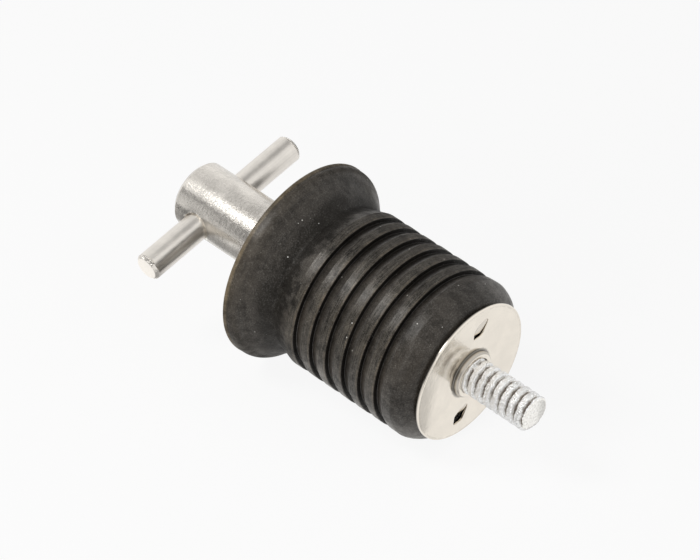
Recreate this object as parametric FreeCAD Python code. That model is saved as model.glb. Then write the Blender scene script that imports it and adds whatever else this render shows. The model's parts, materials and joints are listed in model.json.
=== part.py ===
"""Expanding rubber drain plug with a T-handle, for a boat's drain tube. Millimetres.

The pieces are first made about the plug's own axis: X runs along the axis from the handle to the plate,
with 0 at the flange's outer face, Y runs back and Z runs up. At the end they are laid down together, on
the flange's rim and on the last ring, as the plug lies on a table.
"""
import FreeCAD
import Part

import math
import os

from FreeCAD import Placement, Rotation, Vector

# Rubber stopper
BODY_DIA = 28.3
FLANGE_DIA = 34.9
RIM_ROUND = 0.3
FLANGE_LAND = 1.0
LAND_TAPER = 0.12
SHOULDER_LENGTH = 2.2
SHOULDER_DIA = 32.4
SHOULDER_RISE = 0.28
FLARE_LENGTH = 3.95
NECK_DIA = 26.2
NECK_LENGTH = 3.5
RING_PITCH = 3.44
RING_CREST = 1.65
RING_COUNT = 6
GROOVE_DEPTH = 0.85
GROOVE_DRAFT = 0.12
END_LENGTH = 5.3
END_DROP = 3.2
BORE_CLEARANCE = 0.55

# Turned barrel and cross bar
BARREL_DIA = 11.55
BARREL_LENGTH = 22.7
BARREL_CHAMFER = 0.7
BAR_DIA = 4.76
BAR_LENGTH = 34.1
BAR_CHAMFER = 0.45
BAR_FROM_END = 5.25
BAR_ANGLE = 14.8
CROSS_HOLE_CLEARANCE = 0.02
CROSS_HOLE_CHAMFER = 0.35
MOUTH_CHAMFER = 0.5

# Screw
SCREW_DIA = 6.25
SCREW_PITCH = 25.4 / 16
SCREW_IN_BARREL = 11.0
SCREW_BEYOND_PLATE = 13.2
THREAD_FIT = 0.02
DRILL_POINT_ANGLE = 118.0

# Thrust washer
WASHER_DIA = 19.0
WASHER_THICKNESS = 0.8
WASHER_BORE_CLEARANCE = 0.35
WASHER_SEAT_CLEARANCE = 0.1

# Clamp plate
PLATE_DIA = 24.5
PLATE_THICKNESS = 0.6
PLATE_EDGE_CHAMFER = 0.12
COLLAR_WALL = 0.95
COLLAR_HEIGHT = 0.95
COLLAR_FILLET = 0.2
COLLAR_LIP = 0.3
COLLAR_RUNNING_CLEARANCE = 0.05
SPUR_CIRCLE_DIA = 16.6
SPUR_COUNT = 2
SPUR_PLACE_ANGLE = 84.0
SPUR_DIRECTION_ANGLE = 229.0
SPUR_LENGTH = 3.3
SPUR_WIDTH = 1.8
SPUR_FOLD = 0.5
SPUR_SHOULDER = 0.62
SPUR_BEND = 34.0
SPUR_GAP = 0.12
SLIT_CLEARANCE = 0.3

# How many straight chords stand for each arc of an outline
ROUND_CHORD_COUNT = 2
SHOULDER_CHORD_COUNT = 3
END_CHORD_COUNT = 5

# Places along the axis and radii that follow from the sizes above
BODY_RADIUS = BODY_DIA / 2
FLARE_START = FLANGE_LAND + SHOULDER_LENGTH
NECK_START = FLARE_START + FLARE_LENGTH
FIRST_CREST = NECK_START + NECK_LENGTH
FIRST_WALL = FIRST_CREST + RING_CREST
LAST_WALL = FIRST_WALL + RING_PITCH * (RING_COUNT - 1)
END_START = LAST_WALL + RING_PITCH - RING_CREST
RUBBER_LENGTH = END_START + END_LENGTH
PLATE_FACE = RUBBER_LENGTH + PLATE_THICKNESS
BORE_RADIUS = SCREW_DIA / 2 + BORE_CLEARANCE
WASHER_SEAT = WASHER_THICKNESS
COLLAR_BORE_RADIUS = SCREW_DIA / 2 + COLLAR_RUNNING_CLEARANCE
COLLAR_RADIUS = COLLAR_BORE_RADIUS + COLLAR_WALL
BAR_PLACE = BAR_FROM_END - BARREL_LENGTH
SCREW_CHAMFER = SCREW_PITCH * 0.2
TAPPED_RUN_OUT = SCREW_PITCH * 0.4

# Turns what is drawn in the XY plane, with Z out of it, so that Z lies along the plug and X along Y
ON_AXIS = Rotation(Vector(0, 1, 0), Vector(0, 0, 1), Vector(1, 0, 0), "ZXY")


def point(along, radius):
    """A point of a turned outline: how far along the axis, and how far from it."""
    return Vector(along, radius, 0)


def arc_points(start, middle, end, chords):
    """Points at equal steps along an arc, both its ends among them."""
    return Part.Arc(start, middle, end).toShape().discretize(Number=chords + 1)


def quarter(start, end, corner):
    """Points of the round between two points at equal distances from the corner that it replaces."""
    centre = start + end - corner
    out = corner - centre
    middle = centre + out * ((start - centre).Length / out.Length)
    return arc_points(start, middle, end, ROUND_CHORD_COUNT)


def bowed(start, end, rise, chords):
    """Points of an arc whose middle rises the given height out of the straight line."""
    straight = end - start
    outward = Vector(-straight.y, straight.x, 0).normalize()
    return arc_points(start, (start + end) * 0.5 + outward * rise, end, chords)


def turned(points):
    """The solid that an outline, closed back to its first point, sweeps in one turn about the axis."""
    face = Part.Face(Part.makePolygon(points + points[:1]))
    return face.revolve(Vector(0, 0, 0), Vector(1, 0, 0), 360)


def rod(start, length, radius):
    return Part.makeCylinder(radius, length, Vector(start, 0, 0), Vector(1, 0, 0))


def about_axis(shape, degrees):
    """Turns a shape about the plug's axis, from Y towards Z."""
    copy = shape.copy()
    copy.rotate(Vector(0, 0, 0), Vector(1, 0, 0), degrees)
    return copy


def ring_points():
    """Crest, steep wall and rising floor of each ring, from the neck to the rounded end."""
    points = [point(FIRST_CREST, BODY_RADIUS)]
    for number in range(RING_COUNT):
        wall = FIRST_WALL + RING_PITCH * number
        points.append(point(wall, BODY_RADIUS))
        points.append(point(wall + GROOVE_DRAFT, BODY_RADIUS - GROOVE_DEPTH))
        points.append(point(wall + RING_PITCH - RING_CREST, BODY_RADIUS))
    return points


def rounded_end_points():
    """The arc that leaves the last ring along the axis and meets the plate's back face."""
    radius = (END_LENGTH ** 2 + END_DROP ** 2) / (2 * END_DROP)
    half_turn = math.asin(END_LENGTH / radius) / 2
    centre = BODY_RADIUS - radius
    middle = point(END_START + radius * math.sin(half_turn), centre + radius * math.cos(half_turn))
    return arc_points(point(END_START, BODY_RADIUS), middle, point(RUBBER_LENGTH, BODY_RADIUS - END_DROP),
                      END_CHORD_COUNT)


def flange_rim_points():
    """The rim, from its round at the flange's outer face to the end of its slightly tapered land."""
    rim = FLANGE_DIA / 2
    edge = quarter(point(0, rim - RIM_ROUND), point(RIM_ROUND, rim), point(0, rim))
    return edge + [point(FLANGE_LAND, rim - LAND_TAPER)]


def make_rubber_stopper():
    seat = WASHER_DIA / 2 + WASHER_SEAT_CLEARANCE
    rim = flange_rim_points()
    shoulder = bowed(rim[-1], point(FLARE_START, SHOULDER_DIA / 2), SHOULDER_RISE, SHOULDER_CHORD_COUNT)
    outline = [point(WASHER_SEAT, BORE_RADIUS), point(WASHER_SEAT, seat), point(0, seat)]
    outline += rim + shoulder[1:] + [point(NECK_START, NECK_DIA / 2)]
    outline += ring_points() + rounded_end_points()[1:]
    outline.append(point(RUBBER_LENGTH, BORE_RADIUS))
    stopper = turned(outline)
    for spur in spur_tongues(SLIT_CLEARANCE):
        stopper = stopper.cut(spur)
    return stopper


def make_handle_barrel():
    """A turned rod with chamfered ends, drilled across for the bar and drilled and tapped for the screw."""
    radius = BARREL_DIA / 2
    tapped = SCREW_DIA / 2 + THREAD_FIT
    tapped_end = -(SCREW_IN_BARREL + TAPPED_RUN_OUT)
    drill_point = tapped_end - tapped / math.tan(math.radians(DRILL_POINT_ANGLE / 2))
    barrel = turned([
        point(-BARREL_LENGTH, 0), point(-BARREL_LENGTH, radius - BARREL_CHAMFER),
        point(BARREL_CHAMFER - BARREL_LENGTH, radius), point(-BARREL_CHAMFER, radius),
        point(0, radius - BARREL_CHAMFER), point(0, tapped + MOUTH_CHAMFER),
        point(-MOUTH_CHAMFER, tapped), point(tapped_end, tapped), point(drill_point, 0)])
    hole = BAR_DIA / 2 + CROSS_HOLE_CLEARANCE
    across = Part.makeCylinder(hole, BARREL_DIA * 2, Vector(BAR_PLACE, -BARREL_DIA, 0), Vector(0, 1, 0))
    barrel = barrel.cut(about_axis(across, BAR_ANGLE))
    for side in (1, -1):
        flare = Part.makeCone(hole, hole + CROSS_HOLE_CHAMFER * 2, CROSS_HOLE_CHAMFER * 2,
                              Vector(BAR_PLACE, side * (radius - CROSS_HOLE_CHAMFER), 0), Vector(0, side, 0))
        barrel = barrel.cut(about_axis(flare, BAR_ANGLE))
    return barrel


def make_cross_bar():
    half = BAR_LENGTH / 2
    radius = BAR_DIA / 2
    bar = turned([
        point(-half, 0), point(-half, radius - BAR_CHAMFER), point(BAR_CHAMFER - half, radius),
        point(half - BAR_CHAMFER, radius), point(half, radius - BAR_CHAMFER), point(half, 0)])
    bar.rotate(Vector(0, 0, 0), Vector(0, 0, 1), 90)
    bar.translate(Vector(BAR_PLACE, 0, 0))
    return about_axis(bar, BAR_ANGLE)


def make_drive_screw():
    radius = SCREW_DIA / 2
    end = PLATE_FACE + SCREW_BEYOND_PLATE
    return turned([
        point(-SCREW_IN_BARREL, 0), point(-SCREW_IN_BARREL, radius - SCREW_CHAMFER),
        point(SCREW_CHAMFER - SCREW_IN_BARREL, radius), point(end - SCREW_CHAMFER, radius),
        point(end, radius - SCREW_CHAMFER), point(end, 0)])


def make_thrust_washer():
    bore = SCREW_DIA / 2 + WASHER_BORE_CLEARANCE
    return rod(0, WASHER_THICKNESS, WASHER_DIA / 2).cut(rod(0, WASHER_THICKNESS, bore))


def spur_outline(margin):
    """A spur drawn flat from its fold along X, grown by the margin on its sides and at its point.

    It starts as a narrow fold in the plate's face, widens, and ends in a blunt point.
    """
    fold = SPUR_FOLD / 2 + margin
    widest = SPUR_WIDTH / 2 + margin
    shoulder = SPUR_LENGTH * SPUR_SHOULDER
    return Part.Face(Part.makePolygon([
        Vector(0, -fold, 0), Vector(shoulder, -widest, 0), Vector(SPUR_LENGTH + margin, 0, 0),
        Vector(shoulder, widest, 0), Vector(0, fold, 0), Vector(0, -fold, 0)]))


def stood_on_plate(flat):
    """Copies what is drawn about a spur's fold, on the plate's face, to each place on the spur circle."""
    copies = []
    for number in range(SPUR_COUNT):
        place = SPUR_PLACE_ANGLE + 360 * number / SPUR_COUNT
        shape = flat.copy()
        shape.translate(Vector(-SPUR_LENGTH / 2, 0, 0))
        shape.rotate(Vector(0, 0, 0), Vector(0, 0, 1), SPUR_DIRECTION_ANGLE - place)
        shape.translate(Vector(SPUR_CIRCLE_DIA / 2, 0, 0))
        shape.rotate(Vector(0, 0, 0), Vector(0, 0, 1), place)
        shape.Placement = Placement(Vector(PLATE_FACE, 0, 0), ON_AXIS) * shape.Placement
        copies.append(shape)
    return copies


def spur_tongues(margin):
    """The spurs as bent tongues, each grown by the margin on every side."""
    flat = spur_outline(margin).extrude(Vector(0, 0, PLATE_THICKNESS + margin * 2))
    flat.translate(Vector(0, 0, -PLATE_THICKNESS - margin))
    flat.rotate(Vector(0, 0, 0), Vector(0, 1, 0), SPUR_BEND)
    return stood_on_plate(flat)


def spur_holes():
    """The openings that the bent spurs leave in the plate, a little larger than the tongues."""
    return stood_on_plate(spur_outline(SPUR_GAP).extrude(Vector(0, 0, -PLATE_THICKNESS)))


def make_clamp_plate():
    """A disc with a dulled edge, a drawn collar on its free side, and spurs bent into the rubber.

    The collar is drawn from the plate's own metal, so its bore opens with a bend at the back and its wall
    grows out of the face in a fillet.
    """
    outer = PLATE_DIA / 2
    back = RUBBER_LENGTH
    face = PLATE_FACE
    top = face + COLLAR_HEIGHT
    plate = turned([
        point(back, COLLAR_BORE_RADIUS + COLLAR_FILLET), point(back + COLLAR_FILLET, COLLAR_BORE_RADIUS),
        point(top, COLLAR_BORE_RADIUS), point(top, COLLAR_RADIUS - COLLAR_LIP),
        point(top - COLLAR_LIP, COLLAR_RADIUS), point(face + COLLAR_FILLET, COLLAR_RADIUS),
        point(face, COLLAR_RADIUS + COLLAR_FILLET), point(face, outer - PLATE_EDGE_CHAMFER),
        point(face - PLATE_EDGE_CHAMFER, outer), point(back, outer)])
    for hole in spur_holes():
        plate = plate.cut(hole)
    for spur in spur_tongues(0):
        plate = plate.fuse(spur)
    return plate.removeSplitter()


def rim_foot():
    """The rim's widest place, which the plug lies on."""
    return point(RIM_ROUND, FLANGE_DIA / 2)


def resting_tilt():
    """How far the axis dips towards the plate when the plug lies on its rim and on its rounded end."""
    rim = rim_foot()
    return min(math.atan((rim.y - end.y) / (end.x - rim.x)) for end in rounded_end_points())


def laid_down(shapes):
    """Lays the pieces down together, with the middle of their box over the origin and Z = 0 below them."""
    tilt = resting_tilt()
    turn = Placement(Vector(0, 0, 0), Rotation(Vector(0, 1, 0), math.degrees(tilt)))
    for shape in shapes.values():
        shape.Placement = turn * shape.Placement
    whole = Part.makeCompound(list(shapes.values())).optimalBoundingBox(False, False)
    rim = rim_foot()
    move = Vector(-(whole.XMin + whole.XMax) / 2, 0, rim.x * math.sin(tilt) + rim.y * math.cos(tilt))
    for shape in shapes.values():
        shape.translate(move)
    return shapes


def main():
    os.makedirs("parts", exist_ok=True)
    shapes = laid_down({
        "rubber_stopper": make_rubber_stopper(),
        "handle_barrel": make_handle_barrel(),
        "cross_bar": make_cross_bar(),
        "drive_screw": make_drive_screw(),
        "thrust_washer": make_thrust_washer(),
        "clamp_plate": make_clamp_plate(),
    })
    for name, shape in shapes.items():
        shape.exportStep("parts/" + name + ".step")


main()
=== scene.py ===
"""The dressed model of an expanding rubber drain plug with a T-handle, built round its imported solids."""

import json
import math

import bmesh
import bpy
import numpy as np
from mathutils import Matrix, Vector


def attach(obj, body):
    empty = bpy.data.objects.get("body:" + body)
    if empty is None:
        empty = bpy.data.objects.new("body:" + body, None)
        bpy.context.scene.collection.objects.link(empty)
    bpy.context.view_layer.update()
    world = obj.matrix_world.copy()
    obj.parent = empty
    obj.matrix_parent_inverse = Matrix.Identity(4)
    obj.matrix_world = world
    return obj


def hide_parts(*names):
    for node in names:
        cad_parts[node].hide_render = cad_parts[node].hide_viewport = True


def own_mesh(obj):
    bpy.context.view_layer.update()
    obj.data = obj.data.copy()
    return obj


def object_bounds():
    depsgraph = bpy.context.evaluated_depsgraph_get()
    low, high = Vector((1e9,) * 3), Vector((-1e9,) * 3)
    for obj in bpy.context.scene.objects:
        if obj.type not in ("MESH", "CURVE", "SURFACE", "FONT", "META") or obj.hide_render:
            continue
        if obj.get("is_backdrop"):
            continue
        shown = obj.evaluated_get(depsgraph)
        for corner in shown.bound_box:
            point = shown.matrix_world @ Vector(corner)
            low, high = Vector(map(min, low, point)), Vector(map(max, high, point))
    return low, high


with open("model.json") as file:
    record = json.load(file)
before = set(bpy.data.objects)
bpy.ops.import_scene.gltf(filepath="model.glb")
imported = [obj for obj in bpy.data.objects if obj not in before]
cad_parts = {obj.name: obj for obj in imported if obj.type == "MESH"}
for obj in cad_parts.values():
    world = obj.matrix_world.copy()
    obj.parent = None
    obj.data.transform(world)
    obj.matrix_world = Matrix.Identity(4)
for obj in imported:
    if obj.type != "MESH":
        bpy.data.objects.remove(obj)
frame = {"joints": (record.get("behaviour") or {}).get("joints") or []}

bl_info = {
    "name": "Expanding drain plug",
    "version": (1, 0, 0),
    "blender": (4, 5, 0),
    "location": "View3D > Sidebar > Drain plug",
    "description": "Rubber drain plug with a T-handle, a drive screw and a spurred clamp plate",
    "category": "Object",
}

MM = 0.001
TAU = 2 * math.pi
WELD_DISTANCE = 1e-6
WHITE = (1.0, 1.0, 1.0, 1.0)

# How finely the pieces are divided: columns once round, rows, and the longest steps along an outline
STOPPER_COLUMNS, PLATE_COLUMNS, BARREL_COLUMNS, WASHER_COLUMNS = 240, 288, 240, 192
BAR_COLUMNS, THREAD_COLUMNS, SPUR_COLUMNS = 128, 120, 96
THREAD_ROWS, BAND_ROWS, END_ROWS, FACE_ROWS, STRIP_ROWS, ROLL_ROWS = 16, 29, 40, 44, 9, 8
SHOULDER_STEPS, DOME_STEPS = 12, 24
SKIN_STEP, LONGEST_STEP = 0.55 * MM, 0.5 * MM
# The blocks of a grid that are left out round an opening, as half their width or half their angle
SLIT_BLOCK, SPUR_BLOCK, HALF_BAND, HOLE_BLOCK = 2.4 * MM, 2.3 * MM, 3.5 * MM, math.radians(39)
# The slits in the rubber's end: the gap round each spur, and their depth
SLIT_GAP, SLIT_DEPTH = 0.2 * MM, 2.9 * MM
DRILL_POINT = math.radians(118)
# How far from the bore the flange's face doesn't wave
STILL_MIDDLE = 7 * MM
# Where along the plug the thread's crests begin to be torn, and the length over which the tearing grows
TORN_FROM, TORN_WITHIN = 36 * MM, 5 * MM
# Sines that don't repeat over a turn: the rate along, the turns round, the start and the share of each
SKIN_WAVES = ((900, 3, 0, 1.0), (-1700, 5, 2, 0.6), (350, 2, 4, 1.0))
TORN_WAVES = ((2.3, 5, 0, 1), (5.9, -11, 1, 1), (9.7, 23, 2, 1), (14.3, -37, 4, 1))
CHIP_SEED = 3

# The plug's own axis, from the flange's outer face towards the screw's free end, as the handle turns on it
HANDLE_TURN = next(joint for joint in frame["joints"] if joint["name"] == "handle_turn")
PLATE_DRAW = next(joint for joint in frame["joints"] if joint["name"] == "plate_draw")
FLANGE_CENTRE = np.array(HANDLE_TURN["pos_m"])
ALONG = np.array(HANDLE_TURN["axis"]) / np.linalg.norm(HANDLE_TURN["axis"])
BACK = np.array([0.0, 1.0, 0.0])
UP = np.cross(ALONG, BACK)
PLUG_AXES = np.stack([ALONG, BACK, UP], axis=1)
DIP = math.atan2(-ALONG[2], ALONG[0])


def length(name, description, millimetres):
    """A size that is shown and kept as a length, with its default given in millimetres."""
    return bpy.props.FloatProperty(name=name, description=description, default=millimetres * MM, min=0.0,
                                   unit="LENGTH", precision=5)


def turn(name, description, degrees):
    """An angle that is shown in degrees, with its default given in degrees."""
    return bpy.props.FloatProperty(name=name, description=description, default=math.radians(degrees),
                                   subtype="ANGLE")


def share(name, description, amount):
    """A share between 0 and 1."""
    return bpy.props.FloatProperty(name=name, description=description, default=amount, min=0.0, max=1.0,
                                   subtype="FACTOR")


def colour(name, description, red, green, blue):
    """A plain colour as shares of red, green and blue light."""
    return bpy.props.FloatVectorProperty(name=name, description=description, default=(red, green, blue),
                                         min=0.0, max=1.0, size=3, subtype="COLOR")


class StopperSizes(bpy.types.PropertyGroup):
    """The moulded rubber stopper's sizes and colours"""
    body_dia: length("Body diameter", "Across the flat crests of the rings", 28.3)
    flange_dia: length("Flange diameter", "Across the flange's rim", 34.9)
    rim_round: length("Rim round", "Radius of the rim's edge on the handle's side", 0.3)
    land: length("Rim land", "Width of the rim's nearly straight land", 1.0)
    land_taper: length("Land taper", "How much lower the land is at its end", 0.12)
    shoulder_length: length("Shoulder length", "From the land's end to where the flare begins", 2.2)
    shoulder_dia: length("Shoulder diameter", "Across the place where the flare begins", 32.4)
    shoulder_rise: length("Shoulder rise", "How far the shoulder bows out", 0.38)
    neck_place: length("Neck place", "From the flange's face to the crease of the neck", 7.15)
    neck_dia: length("Neck diameter", "Across the crease of the neck", 26.2)
    neck_length: length("Neck length", "From the crease to the first ring's crest", 3.5)
    ring_pitch: length("Ring pitch", "From one ring's wall to the next", 3.44)
    ring_crest: length("Ring crest", "Width of a ring's flat crest", 1.65)
    ring_count: bpy.props.IntProperty(name="Rings", description="How many grooves are moulded round the body",
                                      default=6, min=1)
    groove_depth: length("Groove depth", "Depth of a groove at its wall", 0.85)
    groove_draft: length("Groove draft", "How far a groove's wall leans", 0.12)
    crest_round: length("Crest round", "Radius of the sharp edge at a groove's wall", 0.13)
    end_land: length("End land", "From the last groove to the rounded end", 1.75)
    end_swell: length("End swell", "How far the plate presses the end out", 0.05)
    end_length: length("End length", "Length of the rounded end", 3.55)
    end_drop: length("End drop", "How much the rounded end falls to the plate", 3.3)
    end_rise: length("End rise", "How far the rounded end bows out", 0.6)
    bore_dia: length("Bore diameter", "Of the bore that the screw runs through", 7.35)
    seat_dia: length("Seat diameter", "Of the washer's seat in the flange's face", 19.2)
    wear: length("Wear", "How far the moulded skin waves", 0.035)
    skin: colour("Skin", "The moulded rubber's plain skin", 0.028, 0.0243, 0.0201)
    crest: colour("Crest", "The rubbed crests of the rings", 0.036, 0.032, 0.0265)
    # Groove and Recess are painted shade, for a groove's floor and wall where little light reaches
    groove: colour("Groove", "The shaded foot of a groove's floor", 0.010, 0.0086, 0.0070)
    recess: colour("Recess", "The rubber against a groove's wall", 0.0010, 0.0009, 0.0008)
    # Edge is also laid on the crests' rims, partly as wear and partly as a painted highlight of their rounded
    # edges
    edge: colour("Edge", "The thin worn edge of the flange", 0.115, 0.092, 0.060)
    dust: colour("Dust", "Specks of white dust on the rubber", 0.62, 0.62, 0.60)


class WasherSizes(bpy.types.PropertyGroup):
    """The thrust washer's sizes and colour"""
    outer_dia: length("Outer diameter", "Across the washer", 19.0)
    bore_dia: length("Bore diameter", "Of the washer's hole", 6.95)
    thickness: length("Thickness", "Of the washer", 0.8)
    edge_round: length("Edge round", "Radius of the washer's edges", 0.12)
    metal: colour("Metal", "The washer's plating, which the barrel has rubbed", 0.55, 0.54, 0.52)


class BarrelSizes(bpy.types.PropertyGroup):
    """The handle's barrel: its sizes, and the colour of barrel and bar"""
    outer_dia: length("Outer diameter", "Across the turned barrel", 11.55)
    whole_length: length("Length", "Of the barrel", 22.7)
    chamfer: length("Chamfer", "At each end of the barrel", 0.7)
    edge_round: length("Edge round", "Radius that dulls each edge", 0.18)
    mouth_chamfer: length("Mouth chamfer", "At the mouth of the tapped hole", 0.5)
    tapped_depth: length("Tapped depth", "Depth of the tapped hole to its drill point", 11.635)
    tapped_dia: length("Tapped diameter", "Of the tapped hole", 6.29)
    bar_from_end: length("Bar from end", "From the barrel's free end to the cross bar", 5.25)
    hole_clearance: length("Hole clearance", "Between the cross bar and its hole, all round", 0.02)
    hole_flare: length("Hole flare", "How far the cross hole's rim rolls over", 0.35)
    metal: colour("Metal", "The satin metal of the handle", 0.68, 0.645, 0.595)


class BarSizes(bpy.types.PropertyGroup):
    """The cross bar's sizes and how it is turned"""
    outer_dia: length("Diameter", "Of the round cross bar", 4.76)
    whole_length: length("Length", "Of the cross bar", 34.1)
    chamfer: length("Chamfer", "At each end of the bar", 0.45)
    edge_round: length("Edge round", "Radius that dulls each edge", 0.15)
    angle: turn("Angle", "The bar's far end above level, about the plug's axis", 14.8)


class ScrewSizes(bpy.types.PropertyGroup):
    """The drive screw's sizes, how torn its thread is, and its colours"""
    outer_dia: length("Outer diameter", "Across the thread's crests", 6.25)
    root_dia: length("Root diameter", "Across the thread's roots", 4.85)
    pitch: length("Pitch", "From one thread to the next", 25.4 / 16)
    in_barrel: length("In barrel", "How far the screw reaches into the barrel", 11.0)
    beyond_plate: length("Beyond plate", "How far the screw stands out of the plate", 13.2)
    end_chamfer: length("End chamfer", "Bevel of the screw's ends", 0.32)
    crest_share: share("Crest share", "Share of the pitch that the thread's crest takes", 0.46)
    root_share: share("Root share", "Share of the pitch that the thread's root takes", 0.04)
    tear: share("Tear", "How far the torn crest's edges wander, as a share of half the pitch", 0.22)
    tear_depth: length("Tear depth", "How deep the crest is torn where it is worst", 0.30)
    chip_depth: length("Chip depth", "How deep the small chips in the crest are at most", 0.13)
    metal: colour("Metal", "The bright rolled thread", 0.95, 0.93, 0.885)
    grime: colour("Grime", "What has settled in the thread's roots", 0.115, 0.076, 0.045)


class PlateSizes(bpy.types.PropertyGroup):
    """The clamp plate's sizes, its spurs and its colour"""
    outer_dia: length("Outer diameter", "Across the plate", 24.5)
    thickness: length("Thickness", "Of the plate's sheet", 0.6)
    edge_round: length("Edge round", "Radius that dulls the plate's edge", 0.22)
    bore_dia: length("Bore diameter", "Of the collar's tapped hole, over its crests", 6.31)
    collar_wall: length("Collar wall", "Thickness of the drawn collar", 0.95)
    collar_height: length("Collar height", "Of the collar above the plate's face", 0.95)
    collar_fillet: length("Collar fillet", "Bend between the plate's face and the collar", 0.2)
    collar_lip: length("Collar lip", "Round of the collar's outer rim", 0.5)
    spur_circle: length("Spur circle", "Diameter of the circle that the spurs stand on", 16.6)
    spur_place: turn("Spur place", "Where the first spur stands, from the back towards the top", 84.0)
    spur_direction: turn("Spur direction", "Which way each spur runs from its fold", 229.0)
    spur_length: length("Spur length", "From a spur's fold to its point", 3.8)
    spur_width: length("Spur width", "Across a spur at its widest", 2.45)
    spur_fold: length("Spur fold", "Width of a spur where it folds out of the plate", 0.8)
    spur_shoulder: share("Spur shoulder", "How far along a spur it is widest", 0.66)
    spur_bend: turn("Spur bend", "How far a spur is bent into the rubber", 18.0)
    upper_spur_bend: turn("Upper spur bend", "The upper spur is bent less than the lower one", 8.0)
    spur_gap: length("Spur gap", "Between a spur and its opening", 0.17)
    metal: colour("Metal", "The nickel plating", 0.84, 0.78, 0.69)


class StageSettings(bpy.types.PropertyGroup):
    """The floor, the surround and the camera"""
    floor: colour("Floor", "The plain floor as it is seen", 0.90, 0.90, 0.895)
    floor_bounce: colour("Floor bounce", "How much light the floor throws up", 0.45, 0.45, 0.45)
    surround: share("Surround", "How strongly the white surround lights matt surfaces", 0.15)
    camera_round: turn("Camera round", "How far round the plug's axis the camera stands", 37.537)
    camera_above: turn("Camera above", "How far above the plug's axis the camera stands", 38.544)
    camera_roll: turn("Camera roll", "How far the camera leans", 7.782)
    camera_distance: length("Camera distance", "From the camera to what it looks at", 600.0)
    lens: bpy.props.FloatProperty(name="Lens", description="Focal length in millimetres on 36 mm film",
                                  default=193.91, min=1.0)


def headings(angle):
    """Unit steps in the directions of the angles: the cosine and the sine."""
    return np.stack([np.cos(angle), np.sin(angle)], axis=-1)


def round_angles(columns, start=0.0):
    """Equal angles once round, from the given one on."""
    return start + np.arange(columns) * TAU / columns


def outwards(angle):
    """Unit steps away from the plug's axis, at angles from the back towards the top."""
    return np.cos(angle)[..., None] * BACK + np.sin(angle)[..., None] * UP


def on_plug(along, radius, angle):
    """Points by cylinder co-ordinates: the flange's centre, plus the way along the plug's axis, plus the
    radius outwards at the angle."""
    along, radius, angle = np.broadcast_arrays(along, radius, angle)
    return FLANGE_CENTRE + along[..., None] * ALONG + radius[..., None] * outwards(angle)


def flat_points(along, flat):
    """Points from the way along the axis and two co-ordinates across it, to the back and to the top."""
    along = np.broadcast_to(along, flat.shape[:-1])
    return FLANGE_CENTRE + along[..., None] * ALONG + flat[..., :1] * BACK + flat[..., 1:] * UP


def softened(corners, rounds, steps=6):
    """An outline whose inner corners are replaced by arcs of the given radii.

    An arc starts and ends at its radius times the tangent of half the turn from its corner. Its points
    are the rational quadratic curve on those two ends and the corner, whose middle weight is the cosine
    of half the turn, and that curve is a true circle.
    """
    corners = np.asarray(corners, float)
    rounds = np.asarray(rounds, float)[:, None]
    before = corners[:-2] - corners[1:-1]
    after = corners[2:] - corners[1:-1]
    before /= np.linalg.norm(before, axis=1, keepdims=True)
    after /= np.linalg.norm(after, axis=1, keepdims=True)
    half = np.arccos(np.clip(-(before * after).sum(axis=1, keepdims=True), -1, 1)) / 2
    reach = rounds * np.tan(half)
    t = np.linspace(0, 1, steps + 1)[None, :, None]
    weights = np.cos(half)[:, None, :]
    first, middle, last = (1 - t) ** 2, 2 * t * (1 - t) * weights, t ** 2
    arcs = (first * (corners[1:-1] + before * reach)[:, None] + middle * corners[1:-1, None]
            + last * (corners[1:-1] + after * reach)[:, None]) / (first + middle + last)
    outline = np.vstack([corners[:1], arcs.reshape(-1, 2), corners[-1:]])
    keep = np.r_[True, np.linalg.norm(np.diff(outline, axis=0), axis=1) > WELD_DISTANCE]
    return outline[keep]


def filled(outline, longest=LONGEST_STEP):
    """The outline with points added on its straight runs, so that no step is longer than the given one."""
    rounding = 1e-9
    step = np.diff(outline, axis=0)
    pieces = np.maximum(np.ceil(np.linalg.norm(step, axis=1) / longest - rounding).astype(int), 1)
    run = np.repeat(np.arange(len(step)), pieces)
    part = (np.arange(pieces.sum()) - np.repeat(np.cumsum(pieces) - pieces, pieces)) / pieces[run]
    return np.vstack([outline[run] + part[:, None] * step[run], outline[-1:]])


def bow(start, end, rise, steps):
    """A circle's arc between two points of an outline, whose middle rises out of the straight line.

    Its radius is (half the straight line squared + the rise squared) over twice the rise, and its points
    stand at equal angles about the circle's centre.
    """
    start, end = np.asarray(start, float), np.asarray(end, float)
    half = np.linalg.norm(end - start) / 2
    ahead = (end - start) / (2 * half)
    outward = np.array([-ahead[1], ahead[0]])
    radius = (half ** 2 + rise ** 2) / (2 * rise)
    angle = np.linspace(-1, 1, steps + 1)[:, None] * math.asin(half / radius)
    height = radius * np.cos(angle) - radius + rise
    return (start + end) / 2 + radius * np.sin(angle) * ahead + height * outward


def ripple(along, angle, waves):
    """The mean of sines, each given by its rate along, its turns round, its start and its share."""
    total = sum(part for *_, part in waves)
    return sum(part * np.sin(rate * along + turns * angle + start)
               for rate, turns, start, part in waves) / total


def sheet(points, keep=None, mark=0.0):
    """One grid of points whose last column joins its first, the cells that it keeps, and its mark."""
    rows, columns = points.shape[:2]
    cells = np.ones((rows - 1, columns), bool) if keep is None else keep
    return {"points": points, "cells": cells, "mark": np.broadcast_to(mark, (rows, columns))}


def grid_faces(rows, columns, cells):
    """Four corner numbers for each kept cell of a grid that is numbered row by row."""
    row, column = np.nonzero(cells)
    beside = (column + 1) % columns
    return np.stack([row * columns + column, row * columns + beside, (row + 1) * columns + beside,
                     (row + 1) * columns + column], axis=1)


def lathe(outline, columns, start=0.0, mark=0.0):
    """A sheet of an outline of (along, radius) points carried round the plug's axis."""
    return sheet(on_plug(outline[:, :1], outline[:, 1:], round_angles(columns, start)), mark=mark)


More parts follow.
